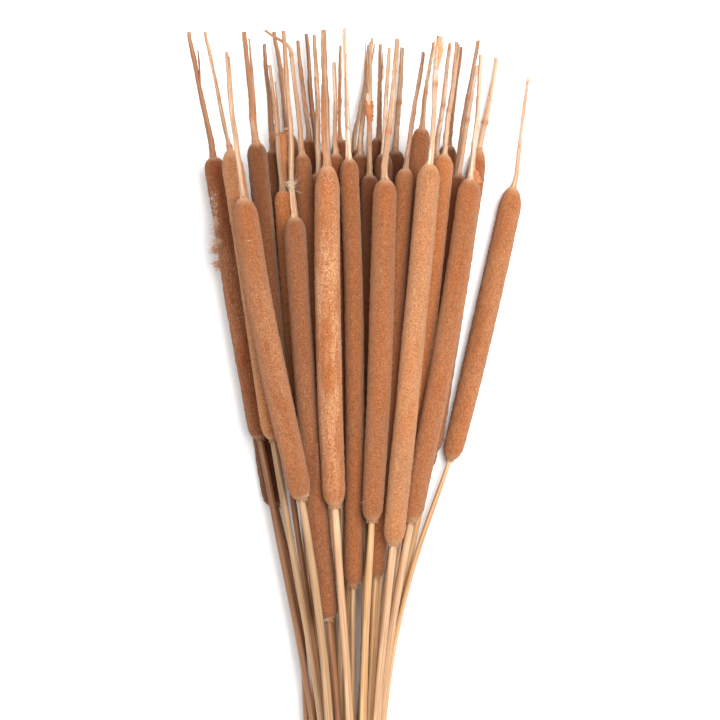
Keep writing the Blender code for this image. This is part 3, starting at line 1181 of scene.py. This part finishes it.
TUFTS = (
    Tuft("front_2", (291, 186), 1.5, "fluff", 190, 2.6, (1.5, 2.2), (-0.1, 0.4, 0.9), 0.9),
    Tuft("middle_1", (214, 199), 5.8, "fluff", 70, 1.8, (3.0, 5.0), (0.4, -0.8, 0.15), 0.4),
    Tuft("middle_1", (217, 212), 5.4, "fluff", 100, 1.6, (3.8, 5.0), (0.6, 0.2, 0.3), 0.5),
    Tuft("middle_1", (215.5, 223), 5.0, "fluff", 260, 1.2, (1.9, 3.8), (-0.3, 0.2, 0.8), 1.0),
    Tuft("middle_1", (217, 240.5), 4.8, "fluff", 260, 1.2, (2.9, 1.4), (-0.5, 0.1, 0.6), 1.0),
    Tuft("middle_1", (216.5, 248.5), 4.0, "bran", 480, 1.3, (3.4, 3.2), (-0.9, -0.3, 0.3), 0.6),
    Tuft("middle_1", (218, 229), 5.0, "bran", 320, 1.9, (3.0, 8.0), (-0.4, -0.2, 0.8), 0.9),
    Tuft("middle_1", (219, 263.5), 3.8, "bran", 480, 1.3, (3.3, 3.4), (-0.9, -0.5, 0.2), 0.5),
    Tuft("front_3", (318, 462), 1.5, "husk", 110, 2.2, (0.8, 12.0), (-1.0, -0.2, 0.4), 0.6),
    Tuft("front_3", (328, 182), 6.7, "fluff", 90, 0.7, (3.4, 9.0), (0.2, 0.5, 0.6), 0.9),
    Tuft("front_3", (326, 231), 6.9, "fluff", 80, 0.7, (3.0, 4.0), (0.2, 0.5, 0.6), 0.9),
    Tuft("middle_1", (215.5, 246), 4.4, "fluff", 70, 1.2, (2.4, 2.6), (-0.8, 0.1, 0.6), 0.9),
    Tuft("front_5", (366.5, 499), 2.0, "fluff", 5, 3.2, (0.3, 0.5), (-0.6, -0.6, 0.4), 0.5),
    Tuft("front_7", (463, 207), 3.5, "fluff", 8, 3.0, (0.5, 1.4), (0.3, -0.9, 0.3), 0.5),
    Tuft("front_1", (248, 241), 6.9, "fluff", 30, 1.8, (1.6, 0.5), (1.0, 0.1, 0.2), 0.3),
    Tuft("front_4", (353, 584), 2.8, "bran", 60, 2.4, (2.0, 1.0), (0.1, -0.9, 0.2), 0.5),
    Tuft("front_2", (328, 617), 2.8, "fluff", 80, 2.2, (2.2, 0.9), (-0.1, -0.9, 0.3), 0.6),
    Tuft("front_1", (303, 493), 3.2, "fluff", 70, 2.0, (2.8, 0.9), (0.1, -0.9, 0.3), 0.5),
    Tuft("middle_6", (277, 132), 1.0, "bran", 70, 3.0, (1.4, 1.4), (-0.5, -0.8, 0.2), 0.7),
    Tuft("back_11", (410, 154), 1.0, "bran", 50, 2.6, (0.8, 1.6), (0.3, -0.9, 0.3), 0.6),
)


class Strip(NamedTuple):
    """A papery strip along points of the photo, each with a height above the cattail's line. Heights, widths
    and thickness are in millimetres."""

    cattail: str
    tone: str
    path: tuple
    widths: tuple
    thickness: float
    curl: float


STRIPS = (
    Strip("front_6", "bran", ((438, 70, 1.2), (439, 58, 1.5), (440.5, 48, 1.8), (439.5, 36, 2.2)),
          (0.8, 2.2, 3.6, 3.6, 2.4), 0.35, 0.5),
    Strip("middle_10", "husk", ((370, 126, 0.4), (369.5, 112, 0.6), (369, 103, 0.6), (369.5, 94, 0.4)),
          (1.6, 4.6, 5.4, 4.6, 1.6), 2.4, 0.2),
    Strip("middle_10", "bract", ((369, 104, 1.7), (368.5, 98, 1.9), (368, 92, 1.5)),
          (0.8, 3.4, 3.6, 1.4), 0.6, 0.3),
    Strip("middle_6", "husk", ((285, 186, 0.4), (283.5, 168, 0.0), (283, 150, -0.4), (282.5, 131, -0.6)),
          (1.4, 3.2, 4.8, 5.2, 5.4), 1.6, 0.4),
    Strip("middle_6", "bran", ((281, 134, 0.0), (277, 131, 0.2), (275.5, 135, 0.2), (277.5, 140, 0.0)),
          (0.8, 1.2, 1.0, 0.5), 0.5, 0.3),
    Strip("front_7", "husk", ((478, 184, 1.6), (475, 175, 1.0), (472, 167, 0.4), (471, 159, 0.2)),
          (6.0, 5.4, 3.4, 0.8), 3.6, 0.1),
    Strip("back_8", "bract", ((383, 62, 1.2), (384.5, 72, 1.4), (382, 80, 1.2), (381, 90, 1.0)),
          (0.5, 0.9, 0.6, 0.4), 0.3, 0.2),
    Strip("back_11", "bran", ((407, 146, 0.6), (409.5, 152, 1.2), (411, 158, 0.8)),
          (0.6, 1.4, 0.5), 0.4, 0.4),
    Strip("front_2", "bract", ((295.5, 217, 0.4), (292, 205, 1.0), (294, 195, 0.8), (290.5, 186, 0.6)),
          (1.8, 2.8, 2.0, 2.4), 1.4, 0.3),
    Strip("front_3", "husk", ((325, 168, 0.8), (323.5, 140, 0.3), (322.5, 112, 0.2), (322, 84, 0.0)),
          (1.6, 2.4, 2.2, 2.0, 0.8), 1.5, 0.1),
    Strip("back_3", "husk", ((308, 130, 0.6), (304, 96, 0.4), (299.5, 60, 0.4), (297, 40, 0.2)),
          (1.2, 2.0, 2.2, 1.2), 1.2, 0.1),
    Strip("middle_5", "bran", ((290, 128, 1.6), (286, 127, 2.0), (283, 129, 2.4)), (0.8, 2.0, 0.8), 0.6, 0.3),
)
STRIP_RINGS = 26
STRIP_FACETS = 12
HAIR_STATIONS = 5
HAIR_SIDES = 3


def loose_material(tone, settings):
    """Papery or fluffy straw, fibrous along its length, darker at its worn end."""
    material, tree, shader = new_material(f"loose_{tone}", 0.75, 0.2, 0.2)
    body = tuple(getattr(settings, tone))
    dark = toned(body, 0.55, 0.42, 0.34)
    place = attribute(tree, "straight", "Vector")
    fibres = noise(tree, place, 0.8 * MM, 3.0, 0.7, along=0.08)
    clouds = noise(tree, place, 4 * MM, 3.0)
    colour = mixed(tree, remap(tree, fibres, 0.32, 0.5), dark, body)
    colour = mixed(tree, remap(tree, clouds, 0.5, 0.68, 0.0, 0.6), colour, shaded(body, 0.7))
    colour = mixed(tree, times(tree, attribute(tree, "tip", "Fac"), 0.7), colour, dark)
    dress(tree, shader, colour, fibres, 0.4 * MM, 0.8)
    return material


def over_line(cattail, pixel_x, pixel_y, lift):
    """The point that the photo shows, at a height in mm above the cattail's line."""
    across, along = on_photo(pixel_x, pixel_y)
    return np.array([across, along, np.interp(along, cattail.along, cattail.line[:, 2]) + lift * MM])


def add_tuft(shape, cattail, tuft, settings, seed):
    """Fine curling hairs from one spot."""
    chance = np.random.default_rng(seed)
    stations = np.linspace(0, 1, HAIR_STATIONS)
    centre = over_line(cattail, *tuft.pixel, tuft.lift)
    for _ in range(tuft.count):
        root = centre + chance.normal(0, 0.5, 3) * (tuft.spot[0] * MM, tuft.spot[1] * MM, 0.6 * MM)
        aim = normalised(np.array(tuft.aim) + chance.normal(0, 0.4, 3))
        bend = tuft.curl * chance.normal(0, 1, 3)
        length = tuft.length * MM * chance.uniform(0.4, 1.2)
        line = root + length * (stations[:, None] * aim + stations[:, None] ** 2 * bend)
        first = normalised(np.cross(aim, bend))
        second = np.cross(first, aim)
        thin = settings.hair_width / 2 * (1 - 0.7 * stations)
        reach = outward(first, second, np.arange(HAIR_SIDES) * math.tau / HAIR_SIDES)
        rings = line[:, None, :] + thin[:, None, None] * reach[None]
        shape.add_tube(rings, rings - centre)


def add_strip(shape, cattail, strip, seed):
    """A thin curled band with a ragged end."""
    knots = np.array([over_line(cattail, *knot) for knot in strip.path])
    share = np.linspace(0, 1, STRIP_RINGS)
    at = np.linspace(0, 1, len(knots))
    line = np.column_stack([smoothed(np.interp(share, at, knots[:, k]), 2.0) for k in range(3)])
    ahead = normalised(np.gradient(line, axis=0))
    side = normalised(np.cross(ahead, (0.0, 0.0, 1.0)))
    rise = np.cross(side, ahead)
    half = np.interp(share, np.linspace(0, 1, len(strip.widths)), strip.widths) * MM / 2
    turn = np.arange(STRIP_FACETS) * math.tau / STRIP_FACETS
    chance = np.random.default_rng(seed)
    wavy = 1 + 0.12 * chance.normal(size=(STRIP_RINGS, 2))
    across = half[:, None] * np.cos(turn) * np.where(np.cos(turn) > 0, wavy[:, :1], wavy[:, 1:])
    curled = strip.curl * half[:, None] * np.cos(turn) ** 2
    fullness = 0.3 + 0.7 * np.sin(math.pi * share) ** 0.5
    up = strip.thickness * MM / 2 * np.sin(turn) * fullness[:, None] - curled
    torn = np.zeros((STRIP_RINGS, STRIP_FACETS))
    torn[-1] = -0.9 * MM * chance.uniform(0, 1, STRIP_FACETS)
    rings = line[:, None] + across[..., None] * side[:, None] + up[..., None] * rise[:, None]
    rings = rings + torn[..., None] * ahead[:, None]
    laid = np.stack([across, up, np.repeat(share[:, None], STRIP_FACETS, axis=1) * 30 * MM], axis=-1)
    shade = np.repeat(np.clip((share - 0.93) / 0.07, 0, 1), STRIP_FACETS)
    shape.add_tube(rings, laid + seed * MM, tips=shade)


class CATTAILS_OT_loose_parts(bpy.types.Operator):
    """Makes the tufts, husks, sheaths and shreds"""

    bl_idname = "cattails.loose_parts"
    bl_label = "Tufts and husks"

    def execute(self, context):
        settings = context.scene.cattail_loose
        for tone in ("fluff", "bran", "husk", "bract"):
            material = loose_material(tone, settings)
            shapes = {}
            for seed, part in enumerate((*TUFTS, *STRIPS)):
                if part.tone == tone:
                    cattail = BUNCH.cattails[part.cattail]
                    shape = shapes.setdefault(part.cattail, Shape())
                    if isinstance(part, Tuft):
                        add_tuft(shape, cattail, part, settings, 11000 + seed)
                    else:
                        add_strip(shape, cattail, part, 12 + seed)
            for name, shape in shapes.items():
                place_piece(shape, f"{tone}_{name}", BUNCH.cattails[name], [material])
        return {"FINISHED"}


# Stage

class StageSettings(bpy.types.PropertyGroup):
    """Floor, lights and camera."""

    floor_size: FloatProperty(name="Floor size", description="Side of the floor", default=8.0, unit="LENGTH")
    floor_colour: FloatVectorProperty(
        name="Floor colour", description="Plain pale floor", default=(0.9, 0.9, 0.9), subtype="COLOR",
    )
    camera_height: FloatProperty(
        name="Camera height", description="Height of the camera above the floor",
        default=8.0, unit="LENGTH",
    )
    key_power: FloatProperty(
        name="Key power", description="Power of the main soft light", default=110.0, unit="POWER",
    )
    fill_power: FloatProperty(
        name="Fill power", description="Power of the fill light", default=22.0, unit="POWER",
    )
    sky: FloatProperty(name="Sky", description="Brightness of the room's light", default=0.46)


SENSOR_WIDTH = 36.0
LIGHT_SIZE = 1.7
KEY_PLACE = (0.8, 0.6, 2.35)
FILL_PLACE = (-0.8, -0.1, 2.3)


def soft_light(name, place, power, aim):
    """A square lamp that shines from a place towards another."""
    light = bpy.data.lights.new(name, "AREA")
    light.energy = power
    light.size = LIGHT_SIZE
    lamp = bpy.data.objects.new(name, light)
    lamp.location = place
    lamp.rotation_euler = (Vector(aim) - Vector(place)).to_track_quat("-Z", "Y").to_euler()
    bpy.context.scene.collection.objects.link(lamp)


def make_floor(settings):
    half = settings.floor_size / 2
    mesh = bpy.data.meshes.new("floor")
    corners = [(-half, -half, 0), (half, -half, 0), (half, half, 0), (-half, half, 0)]
    mesh.from_pydata(corners, [], [(0, 1, 2, 3)])
    material, tree, shader = new_material("floor_paper", 0.9, 0.0, 0.1)
    grain = noise(tree, tree.nodes.new("ShaderNodeTexCoord").outputs["Object"], 6 * MM, 2.0)
    pale = tuple(settings.floor_colour)
    tree.links.new(mixed(tree, grain, shaded(pale, 0.985), pale), shader.inputs["Base Color"])
    mesh.materials.append(material)
    floor = bpy.data.objects.new("floor", mesh)
    bpy.context.scene.collection.objects.link(floor)


def make_camera(settings, aim):
    """Straight above, with the photo's frame at the height of the upper heads."""
    camera = bpy.data.cameras.new("camera")
    frame_width = PHOTO_SIDE * PIXEL
    upper_heads = 0.8 * CAD_BOX[1][2]
    camera.sensor_width = SENSOR_WIDTH
    camera.lens = SENSOR_WIDTH * (settings.camera_height - upper_heads) / frame_width
    camera.clip_end = 100.0
    eye = bpy.data.objects.new("camera", camera)
    eye.location = (*aim, settings.camera_height)
    bpy.context.scene.collection.objects.link(eye)
    bpy.context.scene.camera = eye


def set_sky(settings):
    world = bpy.data.worlds.new("room")
    world.use_nodes = True
    background = world.node_tree.nodes["Background"]
    background.inputs["Color"].default_value = (1.0, 0.99, 0.97, 1.0)
    background.inputs["Strength"].default_value = settings.sky
    bpy.context.scene.world = world


class CATTAILS_OT_stage(bpy.types.Operator):
    """Sets the floor, the soft lights and the camera"""

    bl_idname = "cattails.stage"
    bl_label = "Stage"

    def execute(self, context):
        settings = context.scene.cattail_stage
        centre = on_photo(PHOTO_SIDE / 2, PHOTO_SIDE / 2)
        make_floor(settings)
        make_camera(settings, centre)
        set_sky(settings)
        soft_light("key", KEY_PLACE, settings.key_power, (*centre, 0))
        soft_light("fill", FILL_PLACE, settings.fill_power, (*centre, 0))
        context.scene.view_settings.view_transform = "Standard"
        return {"FINISHED"}


class CATTAILS_PT_panel(bpy.types.Panel):
    """Lists the pieces and their settings in the sidebar"""

    bl_idname = "CATTAILS_PT_panel"
    bl_label = "Dried cattails"
    bl_space_type = "VIEW_3D"
    bl_region_type = "UI"
    bl_category = "Cattails"

    def draw(self, context):
        for operator, settings in GROUPS:
            self.layout.operator(operator.bl_idname)
            group = getattr(context.scene, settings)
            for name in group.__annotations__:
                self.layout.prop(group, name)


# Each operator with the settings it reads
GROUPS = (
    (CATTAILS_OT_seed_heads, "cattail_heads"),
    (CATTAILS_OT_stalks, "cattail_stalks"),
    (CATTAILS_OT_spikes, "cattail_spikes"),
    (CATTAILS_OT_loose_parts, "cattail_loose"),
    (CATTAILS_OT_stage, "cattail_stage"),
)
SETTINGS = {
    "cattail_heads": HeadSettings,
    "cattail_stalks": StalkSettings,
    "cattail_spikes": SpikeSettings,
    "cattail_loose": LooseSettings,
    "cattail_stage": StageSettings,
}
CLASSES = (*SETTINGS.values(), *(operator for operator, _ in GROUPS), CATTAILS_PT_panel)


def register():
    for made in CLASSES:
        bpy.utils.register_class(made)
    for name, group in SETTINGS.items():
        setattr(bpy.types.Scene, name, PointerProperty(type=group))


def unregister():
    for name in SETTINGS:
        delattr(bpy.types.Scene, name)
    for made in reversed(CLASSES):
        bpy.utils.unregister_class(made)


def main():
    register()
    bpy.ops.cattails.seed_heads()
    bpy.ops.cattails.stalks()
    bpy.ops.cattails.spikes()
    bpy.ops.cattails.loose_parts()
    bpy.ops.cattails.stage()


if __name__ == "__main__":
    main()
